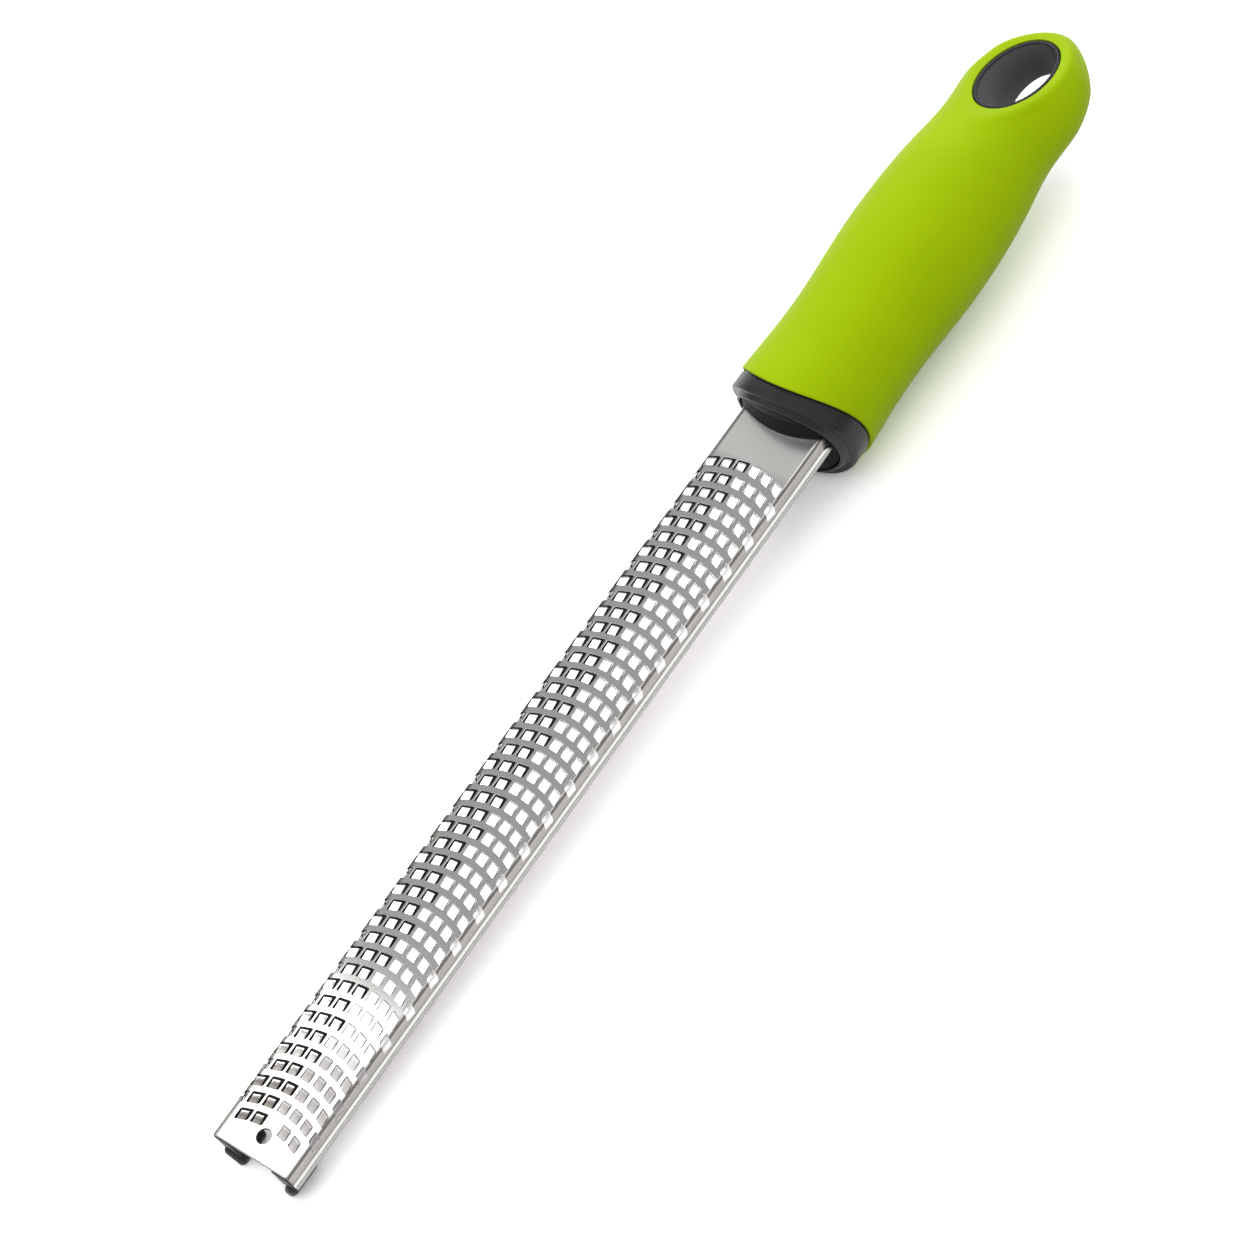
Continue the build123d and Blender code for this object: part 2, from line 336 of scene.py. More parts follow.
def grid_faces(rows, columns, offset=0, wrap=False):
    """Quads of a grid of points, row after row; wrap joins the last column to the first."""
    faces = []
    last = columns if wrap else columns - 1
    for i in range(rows - 1):
        for j in range(last):
            k = (j + 1) % columns
            a = offset + i * columns
            b = a + columns
            faces.append((a + j, a + k, b + k, b + j))
    return faces


# Materials


def material(name, color, roughness, metallic=0.0):
    m = bpy.data.materials.new(name)
    m.use_nodes = True
    shader = m.node_tree.nodes["Principled BSDF"]
    shader.inputs["Base Color"].default_value = (*color, 1)
    shader.inputs["Roughness"].default_value = roughness
    shader.inputs["Metallic"].default_value = metallic
    return m, m.node_tree, shader


def noise(tree, scale, detail, stretch=(1, 1, 1)):
    where = tree.nodes.new("ShaderNodeTexCoord")
    mapping = tree.nodes.new("ShaderNodeMapping")
    mapping.inputs["Scale"].default_value = stretch
    texture = tree.nodes.new("ShaderNodeTexNoise")
    texture.inputs["Scale"].default_value = scale
    texture.inputs["Detail"].default_value = detail
    tree.links.new(where.outputs["Object"], mapping.inputs["Vector"])
    tree.links.new(mapping.outputs["Vector"], texture.inputs["Vector"])
    return texture.outputs["Fac"]


def ramp(tree, source, stops):
    node = tree.nodes.new("ShaderNodeValToRGB")
    elements = node.color_ramp.elements
    while len(elements) < len(stops):
        elements.new(0.5)
    for element, (place, color) in zip(elements, stops):
        element.position = place
        element.color = (*color, 1)
    tree.links.new(source, node.inputs["Fac"])
    return node.outputs["Color"]


def bump(tree, shader, source, strength, distance):
    node = tree.nodes.new("ShaderNodeBump")
    node.inputs["Strength"].default_value = strength
    node.inputs["Distance"].default_value = distance
    tree.links.new(source, node.inputs["Height"])
    tree.links.new(node.outputs["Normal"], shader.inputs["Normal"])


def shade(value):
    return (value, value, value)


def make_steel(name, color, low, high=None, grain=0.03):
    """Brushed steel with a roughness from low to high, or with low alone."""
    m, tree, shader = material(name, color, low, 1.0)
    brushed = noise(tree, 900, 4, (1, 0.06, 1))
    if high is not None:
        rough = ramp(tree, brushed, [(0.3, shade(low)), (0.7, shade(high))])
        tree.links.new(rough, shader.inputs["Roughness"])
    bump(tree, shader, brushed, grain, 0.00002)
    return m


def make_plastic(name, color, lighter, roughness, grain_scale, grain):
    m, tree, shader = material(name, color, roughness)
    cloud = noise(tree, 60, 4)
    tint = ramp(tree, cloud, [(0.35, color), (0.65, lighter)])
    tree.links.new(tint, shader.inputs["Base Color"])
    bump(tree, shader, noise(tree, grain_scale, 2), grain, 0.00003)
    return m


def set_input(m, name, value):
    m.node_tree.nodes["Principled BSDF"].inputs[name].default_value = value


def share_along(tree, axis, start, end, first=0.0, last=1.0):
    """Value that runs from first to last between two places on an axis, in metres."""
    place = tree.nodes.new("ShaderNodeSeparateXYZ")
    tree.links.new(tree.nodes.new("ShaderNodeTexCoord").outputs["Object"], place.inputs[0])
    node = tree.nodes.new("ShaderNodeMapRange")
    sockets = ("From Min", "From Max", "To Min", "To Max")
    for socket, value in zip(sockets, (start, end, first, last)):
        node.inputs[socket].default_value = value
    tree.links.new(place.outputs[axis], node.inputs["Value"])
    return node.outputs[0]


def fade_along(m, start, end, far):
    """Changes a material's colour into another along the tool."""
    color = m.node_tree.nodes["Principled BSDF"].inputs["Base Color"]
    near = tuple(color.default_value)[:3]
    share = share_along(m.node_tree, "Y", start, end)
    m.node_tree.links.new(ramp(m.node_tree, share, [(0.0, near), (1.0, far)]), color)


def shade_by_height(m, top, bottom, left):
    """Darkens a material's colour from one height down to another: painted shade deep in a funnel."""
    tree = m.node_tree
    color = tree.nodes["Principled BSDF"].inputs["Base Color"]
    product = tree.nodes.new("ShaderNodeVectorMath")
    product.operation = "SCALE"
    tree.links.new(color.links[0].from_socket, product.inputs[0])
    tree.links.new(share_along(tree, "Z", bottom, top, left), product.inputs["Scale"])
    tree.links.new(product.outputs[0], color)


FLAP_TINT = (0.82, 0.81, 0.80)

steel = make_steel("steel", (0.70, 0.69, 0.675), 0.07, grain=0.012)
fade_along(steel, 0.029, 0.032, (0.93, 0.915, 0.89))
steel.node_tree.links.new(
    share_along(steel.node_tree, "Y", 0.024, 0.032, 0.07, 0.25),
    steel.node_tree.nodes["Principled BSDF"].inputs["Roughness"],
)
steel_wall = make_steel("steel_wall", (0.70, 0.69, 0.67), 0.2, 0.3)
# Near black: the cut edges' own dark, and painted shade in the wide openings, in the tip's hole and
# under the flaps
etched_and_shade_steel = make_steel("etched_edge_and_painted_shade", (0.03, 0.028, 0.026), 0.35, 0.5)
# Painted highlight on the rims of the openings on the handle's side and on the flaps' borders
highlight_rim_steel = make_steel("painted_highlight_rim", (0.9, 0.9, 0.89), 0.3, 0.42, 0.01)
flap_steel = make_steel("flap_steel", FLAP_TINT, 0.08, 0.1, 0.006)
# Painted shade on the left half's flaps near the tip
painted_shade_left_flap = make_steel("painted_shade_left_flap", (0.2, 0.185, 0.17), 0.2, 0.3)
# Painted shade: dark lines on the sheet's edges, a band of the shoulder's bend, the beads' crease and
# underside
painted_deep_shade_steel = make_steel("painted_deep_shade_steel", (0.2, 0.19, 0.178), 0.2, 0.3)
# Painted shade: mid grey steel for the side walls, the walls of the narrow openings, their flaps'
# sides and part of the beads
mid_shade_steel = make_steel("painted_mid_shade_steel", (0.36, 0.35, 0.335), 0.25, 0.4)
bead_steel = make_steel("bead_steel", (0.66, 0.65, 0.63), 0.12, 0.18, 0.012)
# Painted highlight along the top of the beads
painted_highlight_bead = make_steel("painted_highlight_bead", (0.92, 0.91, 0.89), 0.12, 0.18, 0.012)
# Painted shade on the right half's flaps near the tip
painted_shade_right_flap = make_steel("painted_shade_right_flap", (0.3, 0.29, 0.285), 0.2, 0.35, 0.01)
# Their painted shade fades into the flaps' own tint away from the tip
fade_along(painted_shade_left_flap, -0.143, -0.122, FLAP_TINT)
fade_along(painted_shade_right_flap, -0.135, -0.118, FLAP_TINT)

# Black for painted shade: plates that close the wide openings, and the gap round the eye's ring
shade_black = make_plastic("painted_shade_black", shade(0.003), shade(0.006), 0.7, 3000, 0.2)
charcoal = make_plastic(
    "charcoal", (0.019, 0.0185, 0.023), (0.025, 0.024, 0.029), 0.36, 4200, 0.25
)
set_input(charcoal, "IOR", 1.35)
liner_plastic = make_plastic(
    "liner_plastic", (0.12, 0.12, 0.125), (0.14, 0.14, 0.145), 0.5, 4200, 0.2
)
# Painted shade, darker down the funnel
shade_by_height(liner_plastic, 0.029, 0.0195, 0.06)
ring_plastic = make_plastic(
    "ring_plastic", (0.024, 0.022, 0.033), (0.03, 0.027, 0.04), 0.4, 4200, 0.2
)
set_input(ring_plastic, "Specular IOR Level", 0.22)
core_plastic = make_plastic(
    "core_plastic", (0.04, 0.04, 0.045), (0.05, 0.05, 0.055), 0.5, 3000, 0.2
)
rubber = make_plastic(
    "foot_rubber", (0.012, 0.012, 0.014), (0.018, 0.018, 0.02), 0.55, 3000, 0.3
)
plug_plastic = make_plastic(
    "plug_plastic", (0.009, 0.0088, 0.0105), (0.013, 0.0125, 0.015), 0.5, 4200, 0.25
)
set_input(plug_plastic, "IOR", 1.15)
green = make_plastic("green_sleeve", (0.4, 0.6, 0.0), (0.42, 0.625, 0.0), 0.5, 3600, 0.25)
set_input(green, "Specular IOR Level", 0.03)
set_input(green, "Sheen Weight", 0.08)

# Materials of the blade's faces, by number
BLADE_MATERIALS = [
    steel, steel_wall, etched_and_shade_steel, highlight_rim_steel, flap_steel, highlight_rim_steel, bead_steel, shade_black,
    painted_shade_left_flap, painted_deep_shade_steel, mid_shade_steel, painted_shade_right_flap, painted_highlight_bead,
]
STEEL, INSIDE, CUT_EDGE_AND_SHADE, HIGHLIGHT_RIM, FLAP, FLAP_HIGHLIGHT, BEAD, SHADE_PLATE = range(8)
LEFT_FLAP_SHADE, DEEP_SHADE, MID_SHADE, RIGHT_FLAP_SHADE, HIGHLIGHT_BEAD = range(8, 13)


# Blade


def outer_section(u):
    """Point and outward normal of the blade's outer surface at a distance u round the section."""
    side = 1 if u >= 0 else -1
    d = abs(u)
    if d <= FLAT:
        return (u, 0.0), (0.0, 1.0)
    if d <= FLAT + ARC:
        angle = (d - FLAT) / SHOULDER
        normal = (side * math.sin(angle), math.cos(angle))
        return (side * FLAT + SHOULDER * normal[0], -SHOULDER + SHOULDER * normal[1]), normal
    return (side * HALF_WIDTH, -SHOULDER - (d - FLAT - ARC)), (float(side), 0.0)


def on_blade(u, y, h=0.0):
    """Point at height h over the outer surface."""
    (x, z), (nx, nz) = outer_section(u)
    return (x + nx * h, y, z + nz * h)


def tooth_places():
    """Middle of each tooth's opening and the slant of its bowed row there."""
    places = []
    for row in range(ROWS + 1):
        along = FIRST_ROW + (row - 1) * ROW_PITCH
        columns = 6 if row and row % 2 == 0 else 7
        for index in range(columns):
            column = index - (columns - 1) / 2
            if row == 0 and (column == 0 or abs(column) > 2):
                continue
            x = column * TOOTH_PITCH
            places.append((x, along - BOW * x * x, -2 * BOW * x))
    return places


def rounded_rectangle(width, length, radius, steps=3):
    points = []
    for cx, cy, start in ((1, 1, 0), (-1, 1, 90), (-1, -1, 180), (1, -1, 270)):
        for k in range(steps + 1):
            angle = math.radians(start + 90 * k / steps)
            px = cx * (width / 2 - radius) + radius * math.cos(angle)
            py = cy * (length / 2 - radius) + radius * math.sin(angle)
            points.append((px, py))
    return points


def opening_outline(place, grow):
    x, y, slant = place
    width, length = OPENINGS[x >= OPEN_SIDE]
    points = rounded_rectangle(width + 2 * grow, length + 2 * grow, CORNER + grow)
    return [(x + px, y + slant * px + py) for px, py in points]


def tip_hole_outline(radius):
    angles = [2 * math.pi * k / TIP_HOLE_STEPS for k in range(TIP_HOLE_STEPS)]
    return [(radius * math.cos(a), TIP_HOLE_Y + radius * math.sin(a)) for a in angles]


def unrolled_sheet():
    """Points and triangles of the sheet laid flat, with its openings.

    An opening is cut with its outer outline. The third result gives, for each point on one, the
    matching point of the inner outline, where the opening goes through the sheet.
    """
    holes = [(opening_outline(p, RIM), opening_outline(p, 0)) for p in tooth_places()]
    holes.append((tip_hole_outline(TIP_HOLE_RADIUS + TIP_HOLE_RIM), tip_hole_outline(TIP_HOLE_RADIUS)))
    points = [(-SHEET_EDGE, 0), (SHEET_EDGE, 0), (SHEET_EDGE, LENGTH), (-SHEET_EDGE, LENGTH)]
    faces = [[0, 1, 2, 3]]
    inner = {}
    for outer_outline, inner_outline in holes:
        start = len(points)
        for outer_point, inner_point in zip(outer_outline, inner_outline):
            inner[len(points)] = inner_point
            points.append(outer_point)
        faces.append(list(range(start, len(points))))

    edges = []
    lines = [FLAT - EDGE_LINE] + [FLAT + ARC * k / 10 for k in range(11)] + [SHEET_EDGE - WALL_LINE]
    for line in lines:
        for side in (-1, 1):
            edges.append((len(points), len(points) + 1))
            points += [(side * line, 0), (side * line, LENGTH)]
    edges.append((len(points), len(points) + 1))
    points += [(-SHEET_EDGE, FRONT_LINE), (SHEET_EDGE, FRONT_LINE)]

    result = geometry.delaunay_2d_cdt([Vector(p) for p in points], edges, faces, 1, 1e-5)
    flat_points, _, triangles, from_points, _, from_faces = result
    inner_points = {}
    for index, origins in enumerate(from_points):
        for origin in origins:
            if origin in inner:
                inner_points[index] = inner[origin]
    kept = [t for t, origins in zip(triangles, from_faces) if not any(f > 0 for f in origins)]
    return flat_points, kept, inner_points


def top_kind(u, y):
    """Material of the outer surface at a distance u round the section."""
    turned = (abs(u) - FLAT) / ARC
    # Painted shade: dark lines and a dark band of the bend, mid grey side walls and left edge by the
    # handle
    if u < EDGE_LINE - FLAT or FOLD_SHARE[0] < turned < FOLD_SHARE[1] or y < FRONT_LINE:
        return MID_SHADE if y > BLANK_START and u < 0 else DEEP_SHADE
    return MID_SHADE if turned >= FOLD_SHARE[1] else STEEL


def single_edges(triangles):
    """Edges that only one triangle has."""
    count = {}
    for t in triangles:
        for a, b in zip(t, list(t[1:]) + [t[0]]):
            key = (min(a, b), max(a, b))
            count[key] = count.get(key, 0) + 1
    return [key for key, uses in count.items() if uses == 1]


def on_sheet_border(p):
    at_side = abs(abs(p[0]) - SHEET_EDGE) < TOUCHING
    return at_side or p[1] < TOUCHING or p[1] > LENGTH - TOUCHING


def make_sheet():
    """The sheet in its section: outside, inside, its border and the walls of its openings."""
    flat_points, triangles, inner_points = unrolled_sheet()
    points = [on_blade(p[0], p[1]) for p in flat_points]
    n = len(points)
    for index, p in enumerate(flat_points):
        x, y = inner_points.get(index, p)
        points.append(on_blade(x, y, -SHEET))
    faces = [tuple(t) for t in triangles]
    kinds = []
    for t in triangles:
        u = sum(flat_points[k][0] for k in t) / 3
        along = sum(flat_points[k][1] for k in t) / 3
        kinds.append(top_kind(u, along))
    faces += [tuple(n + i for i in reversed(t)) for t in triangles]
    kinds += [INSIDE] * len(triangles)

    # An opening's wall slopes over RIM to its lip and then goes straight through
    lip = {}
    for a, b in single_edges(triangles):
        for index in (a, b):
            if index in lip:
                continue
            p = flat_points[index]
            if index in inner_points or not on_sheet_border(p):
                lip[index] = len(points)
                x, y = inner_points.get(index, p)
                points.append(on_blade(x, y, -RIM))
            else:
                lip[index] = index
        if lip[a] == a and lip[b] == b:
            faces.append((a, b, n + b, n + a))
            at_front = max(flat_points[a][1], flat_points[b][1]) < TOUCHING
            # Painted shade: the sheet's cut border is near black at the front and dark elsewhere
            kinds.append(CUT_EDGE_AND_SHADE if at_front else DEEP_SHADE)
            continue
        middle_y = (flat_points[a][1] + flat_points[b][1]) / 2
        inwards = sum(inner_points.get(k, flat_points[k])[1] for k in (a, b)) / 2 - middle_y
        in_tip_hole = middle_y < TIP_HOLE_Y + TIP_HOLE_RADIUS + TIP_HOLE_MARGIN
        # Rims: painted highlight on the handle's side of an opening, near black painted shade in the
        # tip's hole
        faces.append((a, b, lip[b], lip[a]))
        kinds.append(CUT_EDGE_AND_SHADE if in_tip_hole else HIGHLIGHT_RIM if inwards < -0.5 * RIM else STEEL)
        # Painted shade on the walls: near black in the wide openings and the tip's hole, mid grey in
        # the others
        faces.append((lip[a], lip[b], n + b, n + a))
        kinds.append(CUT_EDGE_AND_SHADE if flat_points[a][0] < OPEN_SIDE or in_tip_hole else MID_SHADE)
    return points, faces, kinds


def add_flap(place, points, faces, kinds):
    """One tooth: a thin tongue that curls up from the tip side of its opening."""
    x, y, slant = place
    filled = x >= OPEN_SIDE
    width, length = OPENINGS[filled]
    half = width / 2 - SIDE_SLOTS[filled]
    reach = length - END_SLOTS[filled]
    rise = RISE
    if filled:
        rise += STEEPER * max(0.0, (y - STEEPER_START) / STEEPER_SPAN)
    base = len(points)
    for layer in (0, 1):
        for t in FLAP_ROWS:
            for c in FLAP_COLUMNS:
                at_side, at_end = abs(c) == 1.0, t == 1.0
                px = FLAP_SHIFT + c * half * (1 - FLAP_TAPER * t)
                py = reach * t - length / 2
                if at_side and at_end:
                    py -= FLAP_CORNER
                height = rise * t**FLAP_CURL
                if layer == 1:
                    height -= FLAP_THICKNESS
                elif at_side or at_end:
                    height -= FLAP_EDGE_DROP
                points.append(on_blade(x + px, y + slant * px + py, height))

    # Painted shade: a black plate that closes a wide opening
    if not filled:
        plate = [on_blade(px, py, PLATE_RISE - SHEET) for px, py in opening_outline(place, 0)]
        faces.append(tuple(range(len(points), len(points) + len(plate))))
        kinds.append(SHADE_PLATE)
        points += plate

    rows, columns = len(FLAP_ROWS), len(FLAP_COLUMNS)
    shift = rows * columns
    for index, face in enumerate(grid_faces(rows, columns, base)):
        i, j = divmod(index, columns - 1)
        at_border = i == rows - 2 or j in (0, columns - 2)
        faces.append(face)
        # Painted shade near the tip, a painted highlight on the borders further on
        if y >= FLAP_SHADE_END:
            kinds.append(FLAP_HIGHLIGHT if at_border else FLAP)
        elif filled:
            kinds.append(RIGHT_FLAP_SHADE)
        else:
            kinds.append(LEFT_FLAP_SHADE if at_border or i < FLAP_SHADE_ROWS else FLAP)
    # Painted shade: the flaps' undersides are near black
    underside = [tuple(reversed(face)) for face in grid_faces(rows, columns, base + shift)]
    faces += underside
    kinds += [CUT_EDGE_AND_SHADE] * len(underside)
    border = [(0, j) for j in range(columns)] + [(i, columns - 1) for i in range(1, rows)]
    border += [(rows - 1, j) for j in range(columns - 2, -1, -1)]
    border += [(i, 0) for i in range(rows - 2, 0, -1)]
    ids = [base + i * columns + j for i, j in border]
    # Painted shade on the flaps' sides: mid grey where they fill their openings, near black in the
    # wide ones
    for a, b in zip(ids, ids[1:] + ids[:1]):
        faces.append((a, b, b + shift, a + shift))
        kinds.append(MID_SHADE if filled else CUT_EDGE_AND_SHADE)


def add_bead(side, points, faces, kinds):
    """Rolled edge along the bottom of a side wall, with a small fillet above it."""
    inner = HALF_WIDTH - SHEET
    center = HALF_WIDTH - BEAD_INSET
    crease = -BEAD_DROP + BEAD_RADIUS
    outline = [(HALF_WIDTH, crease + 0.3), (HALF_WIDTH + 0.02, crease + 0.1)]
    for k in range(BEAD_STEPS + 1):
        angle = math.radians(BEAD_FIRST - BEAD_TURN * k / BEAD_STEPS)
        px = center + BEAD_RADIUS * math.cos(angle)
        outline.append((px, -BEAD_DROP + BEAD_RADIUS * math.sin(angle)))
    outline += [(inner, crease), (inner, crease + 0.3)]
    base = len(points)
    n = len(outline)
    ends = [(0.0, BEAD_CHAMFER), (BEAD_CHAMFER, 0.0)]
    ends += [(LENGTH - BEAD_CHAMFER, 0.0), (LENGTH, BEAD_CHAMFER)]
    for y, shrink in ends:
        k = 1 - shrink
        for px, pz in outline:
            points.append((side * (center + (px - center) * k), y, -BEAD_DROP + (pz + BEAD_DROP) * k))
    faces += grid_faces(len(ends), n, base, wrap=True)
    # Bands round the bead: painted shade in the crease, a painted highlight on its top, plain steel,
    # painted mid shade on its outer side and painted deep shade underneath
    bands = [DEEP_SHADE] * 2 + [HIGHLIGHT_BEAD] * 2 + [BEAD] + [MID_SHADE] * 4 + [DEEP_SHADE] * 5
    bands += [BEAD] * (n - len(bands))
    kinds += bands * (len(ends) - 1)
    faces.append(tuple(base + i for i in range(n)))
    faces.append(tuple(base + (len(ends) - 1) * n + i for i in reversed(range(n))))
    kinds += [BEAD, BEAD]


def make_blade():
    points, faces, kinds = make_sheet()
    for place in tooth_places():
        add_flap(place, points, faces, kinds)
    for side in (-1, 1):
        add_bead(side, points, faces, kinds)
    blade = new_object("blade_sheet", points, faces, BLADE_MATERIALS, kinds, sharp=22)
    carried(blade, "steel", "blade", "rail_left", "rail_right")


# Collar, plug and tongue


def ring_of(wide, high, y, radius):
    """Oval ring at the mouth, whose y follows the face's curve in plan."""
    points = []
    for k in range(OVAL_STEPS):
        angle = 2 * math.pi * k / OVAL_STEPS
        x = wide * math.cos(angle)
        z = -DROP + high * math.sin(angle)
        points.append((x, y + x * x / (2 * radius), z))
    return points


def make_collar():
    edge_share, edge_y, edge_depth = COLLAR_EDGE
    front = [(0.0, 204.2)]
    for k in range(7):
        angle = math.radians(90 * k / 6)
        front.append((edge_share * (1 - math.cos(angle)), edge_y - edge_depth * math.sin(angle)))
    profile = [(share, y, FACE_RADIUS) for share, y in COLLAR_BEHIND]
    profile += [(share, y, COLLAR_RADIUS) for share, y in front + COLLAR_FACE]
    profile.append((0.97, 206.0, FACE_RADIUS))
    points = []
    for share, y, radius in profile:
        wide = COLLAR[0] - (COLLAR[0] - FLANGE[0]) * share
        high = COLLAR[1] - (COLLAR[1] - FLANGE[1]) * share
        points += ring_of(wide, high, y, radius)
    faces = grid_faces(len(profile), OVAL_STEPS, 0, wrap=True)
    collar = new_object("collar_ring", points, faces, [charcoal], sharp=60)
    carried(collar, "charcoal", "collar")


def plug_face_y(x):
    return PLUG_FACE + x * x / (2 * FACE_RADIUS)


def add_tongue(points, faces):
    """Its foot is one arc on the sheet, and it leans back to a crease on the plug's face."""
    start = len(points)
    for rise, lean in TONGUE_PROFILE:
        for j in range(TONGUE_COLUMNS):
            x = TONGUE_HALF_WIDTH * (2 * j / (TONGUE_COLUMNS - 1) - 1)
            front = TONGUE_FRONT + x * x / (2 * TONGUE_RADIUS)
            oval_top = -DROP + FLANGE[1] * math.sqrt(1 - (x / FLANGE[0]) ** 2) - 0.25
            top = min(TONGUE_HEIGHT, oval_top)
            y = front + (plug_face_y(x) + 0.06 - front) * lean
            points.append((x, y, top * rise - TONGUE_SINK))
    faces += grid_faces(len(TONGUE_PROFILE), TONGUE_COLUMNS, start)
    for j in (0, TONGUE_COLUMNS - 1):
        side = [start + i * TONGUE_COLUMNS + j for i in range(len(TONGUE_PROFILE))]
        x = points[side[0]][0]
        points.append((x, plug_face_y(x) + 0.3, points[side[-1]][2]))
        points.append((x, plug_face_y(x) + 0.3, -TONGUE_SINK))
        faces.append(tuple(side + [len(points) - 2, len(points) - 1]))


def make_plug():
    points = []
    for share, behind in PLUG_PROFILE:
        points += ring_of(FLANGE[0] * share, FLANGE[1] * share, PLUG_FACE + behind, FACE_RADIUS)
    rows = len(PLUG_PROFILE)
    faces = grid_faces(rows, OVAL_STEPS, 0, wrap=True)
    faces.append(tuple((rows - 1) * OVAL_STEPS + k for k in range(OVAL_STEPS)))
    add_tongue(points, faces)
    plug = new_object("plug_and_tongue", points, faces, [plug_plastic], sharp=50)
    carried(plug, "charcoal", "blade_plug")


# Sleeve and hanging eye


def dished(x, y, z):
    """Height of the sleeve's top, pulled down to the plane of the eye's ring close to it."""
    along = y - EYE_Y
    plane = EYE_HEIGHT + EYE_SLOPE * along
    across_share = x / (EYE[0] + DISH_MARGIN)
    along_share = along / (EYE[1] + DISH_MARGIN)
    apart = np.sqrt(across_share**2 + along_share**2)
    pull = np.clip(1 - (apart - 1) / DISH_REACH, 0, 1)
    pull = pull * pull * (3 - 2 * pull)
    return z + (plane + DISH_LIFT - z) * pull


def sleeve_rows():
    """Rows along the sleeve: distance, inset, and how much they follow the mouth's curve in plan."""
    rows = [(SLEEVE_FRONT + behind, inset, 1.0) for inset, behind in LIP]
    y = SLEEVE_FRONT + 1.2
    while y < HANDLE_END - 8:
        rows.append((y, 0.0, max(0.0, 1 - (y - SLEEVE_FRONT) / MOUTH_REACH) ** 2))
        y += 1.0 if y < 285 else 0.4
    roots = np.linspace(math.sqrt((HANDLE_END - y) / HANDLE_LENGTH), 0.03, 26)
    return rows + [(HANDLE_END - HANDLE_LENGTH * r * r, 0.0, 0.0) for r in roots]


def cut_eye(sleeve):
    """Cuts the opening of the eye out of the sleeve."""
    upper = (EYE[0] + CUTTER_GAP, EYE[1] + CUTTER_GAP)
    levels = [(CUTTER_REACH, upper), (0.0, upper), (-CUTTER_REACH, CUTTER_BOTTOM)]
    points = []
    for z, (wide, long) in levels:
        for k in range(CUTTER_STEPS):
            angle = 2 * math.pi * k / CUTTER_STEPS
            points.append((wide * math.cos(angle), EYE_Y + long * math.sin(angle), z))
    n = CUTTER_STEPS
    faces = grid_faces(len(levels), n, 0, wrap=True)
    faces += [tuple(range(n)), tuple(reversed(range(2 * n, 3 * n)))]
    cutter = new_object("cutter", points, faces, [green])
    modifier = sleeve.modifiers.new("eye", "BOOLEAN")
    modifier.operation = "DIFFERENCE"
    modifier.solver = "EXACT"
    modifier.object = cutter
    bpy.context.view_layer.update()
    evaluated = sleeve.evaluated_get(bpy.context.evaluated_depsgraph_get())
    cut = bpy.data.meshes.new_from_object(evaluated)
    sleeve.modifiers.clear()
    sleeve.data = cut
    bpy.data.objects.remove(cutter)
    smooth_by_angle(cut, 50)


def make_sleeve():
    rows = sleeve_rows()
    points = []
    angles = np.arange(SLEEVE_STEPS) * 2 * math.pi / SLEEVE_STEPS
    for base, inset, curve in rows:
        # y depends on the width there, so it is found in a few rounds
        y = np.full(SLEEVE_STEPS, base)
        for _ in range(6):
            wide, high, middle = handle_at(y)
            x = (wide - inset) * np.cos(angles)
            y = base + curve * x * x / (2 * FACE_RADIUS)
        z = middle + (high - inset) * np.sin(angles)
        z = np.where(np.sin(angles) > 0, dished(x, y, z), z)
        floor_z = -(FRONT_HEIGHT + y * math.sin(TILT)) / math.cos(TILT)
        z = np.maximum(z, floor_z)
        points += list(zip(x.tolist(), y.tolist(), z.tolist()))
    faces = grid_faces(len(rows), SLEEVE_STEPS, 0, wrap=True)
    faces.append(tuple((len(rows) - 1) * SLEEVE_STEPS + k for k in range(SLEEVE_STEPS)))
    faces.append(tuple(reversed(range(SLEEVE_STEPS))))
    sleeve = new_object("green_sleeve", points, faces, [green], sharp=70)
    cut_eye(sleeve)
    carried(sleeve, "green_sleeve", "grip")


def make_liner():
    angles = [2 * math.pi * k / EYE_STEPS for k in range(EYE_STEPS)]
    points = []
    for inset, sink in EYE_RING:
        for angle in angles:
            along = (EYE[1] - inset) * math.sin(angle)
            x = (EYE[0] - inset) * math.cos(angle)
            points.append((x, EYE_Y + along, EYE_HEIGHT + EYE_SLOPE * along - sink))
    rim = points[-EYE_STEPS:]

    def level_oval(wide, long, y, z):
        return [(wide * math.cos(a), y + long * math.sin(a), z) for a in angles]

    waist = level_oval(*EYE_WAIST)
    throat = level_oval(*EYE_THROAT)
    under = []
    for wide, long, proud in UNDER_EYE:
        for angle in angles:
            x = wide * math.cos(angle)
            y = UNDER_EYE_Y + long * math.sin(angle)
            z = float(bottom_of_handle(x, min(y, HANDLE_END - 2.5))) - proud
            under.append((x, y, z))
    funnel = [(rim, waist, (0.15, 0.5, 1.0)), (waist, throat, (0.4, 0.9, 1.0))]
    for first, last, shares in funnel + [(throat, under[:EYE_STEPS], (0.1, 0.5))]:
        for share in shares:
            for a, b in zip(first, last):
                points.append(tuple(a[i] + (b[i] - a[i]) * share for i in range(3)))
    points += under

    rows = len(points) // EYE_STEPS
    faces = grid_faces(rows, EYE_STEPS, 0, wrap=True)
    ring_rows = len(EYE_RING) - 1
    funnel_rows = ring_rows + sum(len(shares) for _, _, shares in funnel)
    kinds = []
    # Painted shade: black in the gap by the sleeve, and the darker charcoal from the throat down
    for i in range(rows - 1):
        kind = 3 if i < GAP_ROWS else 1 if i < ring_rows else 0 if i < funnel_rows else 2
        kinds += [kind] * EYE_STEPS
    materials = [liner_plastic, ring_plastic, charcoal, shade_black]
    liner = new_object("eye_liner_shell", points, faces, materials, kinds, sharp=60)
    carried(liner, "charcoal", "eye_liner")


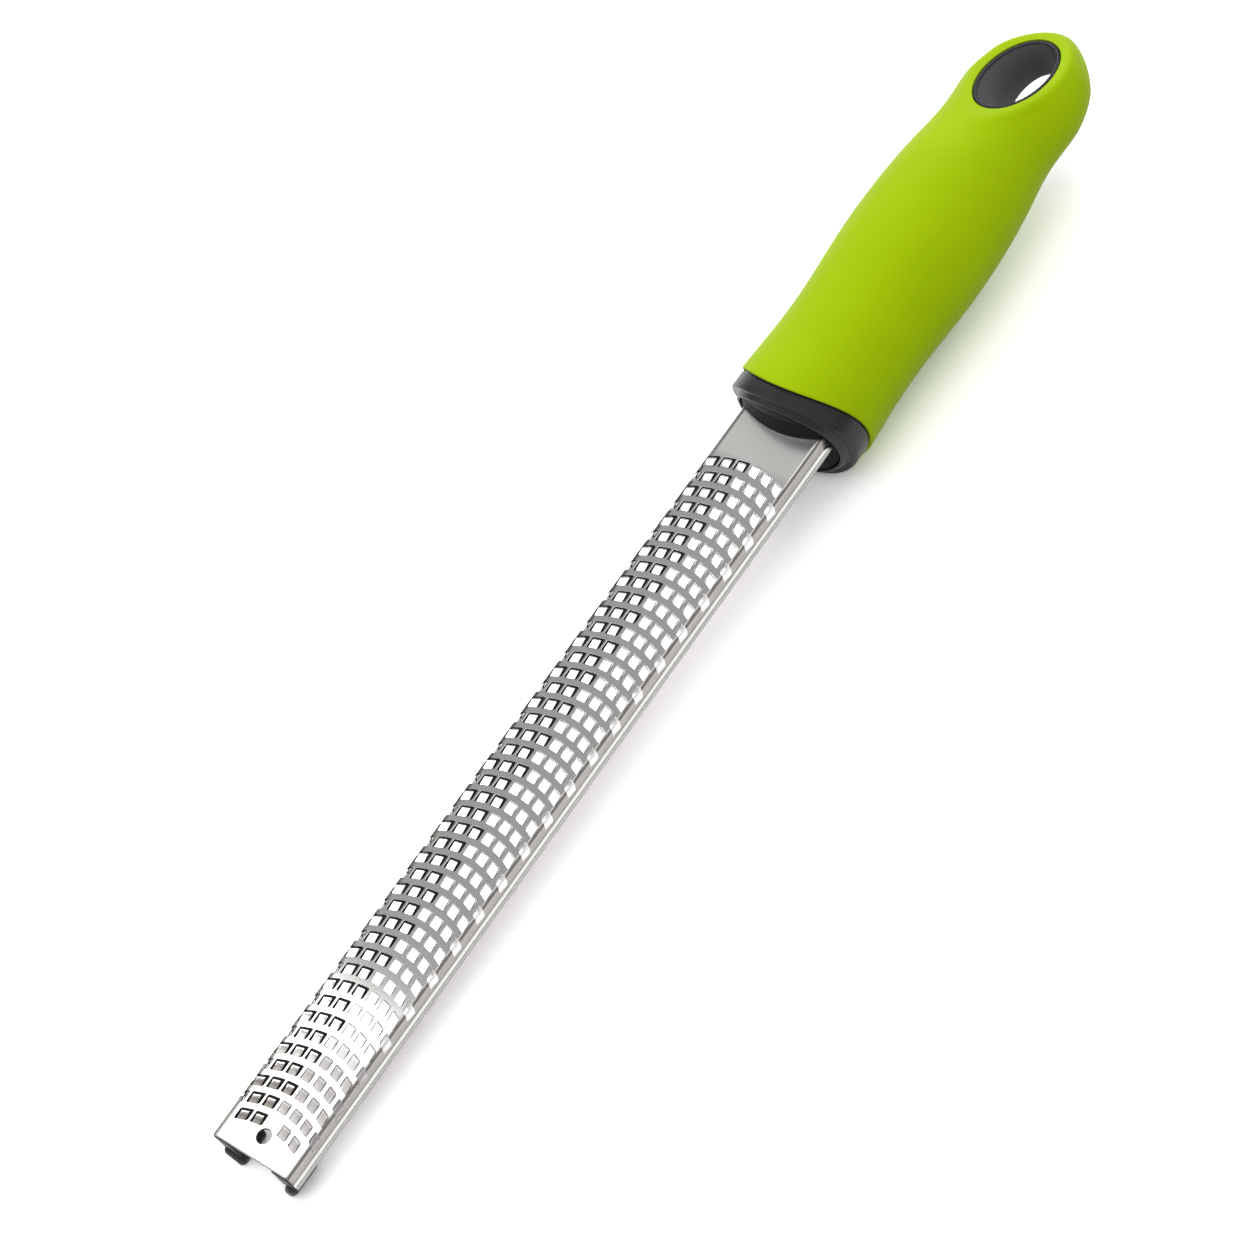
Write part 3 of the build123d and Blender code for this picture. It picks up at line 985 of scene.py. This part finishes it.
def dress(node, m):
    """Gives a CAD node that is carried over its material."""
    mesh = nodes[node].data
    mesh.materials.clear()
    mesh.materials.append(m)
    smooth_by_angle(mesh, 35)


# Floor, world and lamps


def make_floor():
    mesh = bpy.data.meshes.new("floor")
    size = FLOOR_HALF_SIZE
    corners = [(-size, -size, 0), (size, -size, 0), (size, size, 0), (-size, size, 0)]
    mesh.from_pydata(corners, [], [(0, 1, 2, 3)])
    floor = bpy.data.objects.new("floor", mesh)
    bpy.context.scene.collection.objects.link(floor)
    m = bpy.data.materials.new("floor")
    m.use_nodes = True
    tree = m.node_tree
    tree.nodes.clear()
    output = tree.nodes.new("ShaderNodeOutputMaterial")
    diffuse = tree.nodes.new("ShaderNodeBsdfDiffuse")
    path = tree.nodes.new("ShaderNodeLightPath")
    tint = tree.nodes.new("ShaderNodeMix")
    tint.data_type = "RGBA"
    tint.inputs["A"].default_value = FLOOR_LIT
    tint.inputs["B"].default_value = FLOOR_SEEN
    seen = path.outputs["Is Camera Ray"]
    for flag in ("Is Glossy Ray", "Is Transmission Ray"):
        either = tree.nodes.new("ShaderNodeMath")
        either.operation = "ADD"
        either.use_clamp = True
        tree.links.new(seen, either.inputs[0])
        tree.links.new(path.outputs[flag], either.inputs[1])
        seen = either.outputs[0]
    tree.links.new(seen, tint.inputs["Factor"])
    tree.links.new(tint.outputs["Result"], diffuse.inputs["Color"])
    tree.links.new(diffuse.outputs[0], output.inputs["Surface"])
    mesh.materials.append(m)


def make_world():
    world = bpy.data.worlds.new("studio")
    bpy.context.scene.world = world
    world.use_nodes = True
    tree = world.node_tree
    background = tree.nodes["Background"]
    where = tree.nodes.new("ShaderNodeTexCoord")
    near = tree.nodes.new("ShaderNodeVectorMath")
    near.operation = "DOT_PRODUCT"
    near.inputs[1].default_value = DARK_SIDE
    tree.links.new(where.outputs["Generated"], near.inputs[0])
    dimming = [(0.0, 1), (DARK_EDGE[0], 1), (DARK_EDGE[1], DARK), (1.0, DARK)]
    dim = ramp(tree, near.outputs["Value"], [(place, shade(value)) for place, value in dimming])
    split = tree.nodes.new("ShaderNodeSeparateXYZ")
    tree.links.new(where.outputs["Generated"], split.inputs[0])
    sky = ramp(tree, split.outputs["Z"], [(place, shade(value)) for place, value in SKY])
    product = tree.nodes.new("ShaderNodeVectorMath")
    product.operation = "MULTIPLY"
    tree.links.new(sky, product.inputs[0])
    tree.links.new(dim, product.inputs[1])
    tree.links.new(product.outputs[0], background.inputs["Color"])
    background.inputs["Strength"].default_value = 1.0


def softbox(name, spot, aim, size, radiance):
    """Rectangular lamp whose first side lies level."""
    lamp = bpy.data.lights.new(name, "AREA")
    lamp.shape = "RECTANGLE"
    lamp.size, lamp.size_y = size
    lamp.energy = radiance * math.pi * size[0] * size[1]
    obj = bpy.data.objects.new(name, lamp)
    obj.location = spot
    away = Vector(spot) - Vector(aim)
    obj.rotation_euler = away.to_track_quat("Z", "Y").to_euler()
    bpy.context.scene.collection.objects.link(obj)


def make_camera():
    data = bpy.data.cameras.new("camera")
    data.sensor_width = 36
    data.lens = CAMERA_LENS
    data.clip_start = 0.05
    camera = bpy.data.objects.new("camera", data)
    turn = Matrix((CAMERA_RIGHT, CAMERA_UP, CAMERA_BACK)).transposed().to_4x4()
    spot = Matrix.Translation(PLACE @ CAMERA_SPOT)
    camera.matrix_world = spot @ Matrix.Rotation(TILT, 4, "X") @ turn
    bpy.context.scene.collection.objects.link(camera)
    bpy.context.scene.camera = camera


make_blade()
make_collar()
make_plug()
make_sleeve()
make_liner()
dress("foot_left", rubber)
dress("foot_right", rubber)
dress("handle_core", core_plastic)
dress("tang_pins", steel)

make_floor()
make_world()
for box in SOFTBOXES:
    softbox(*box)
make_camera()
bpy.context.scene.view_settings.view_transform = "Standard"
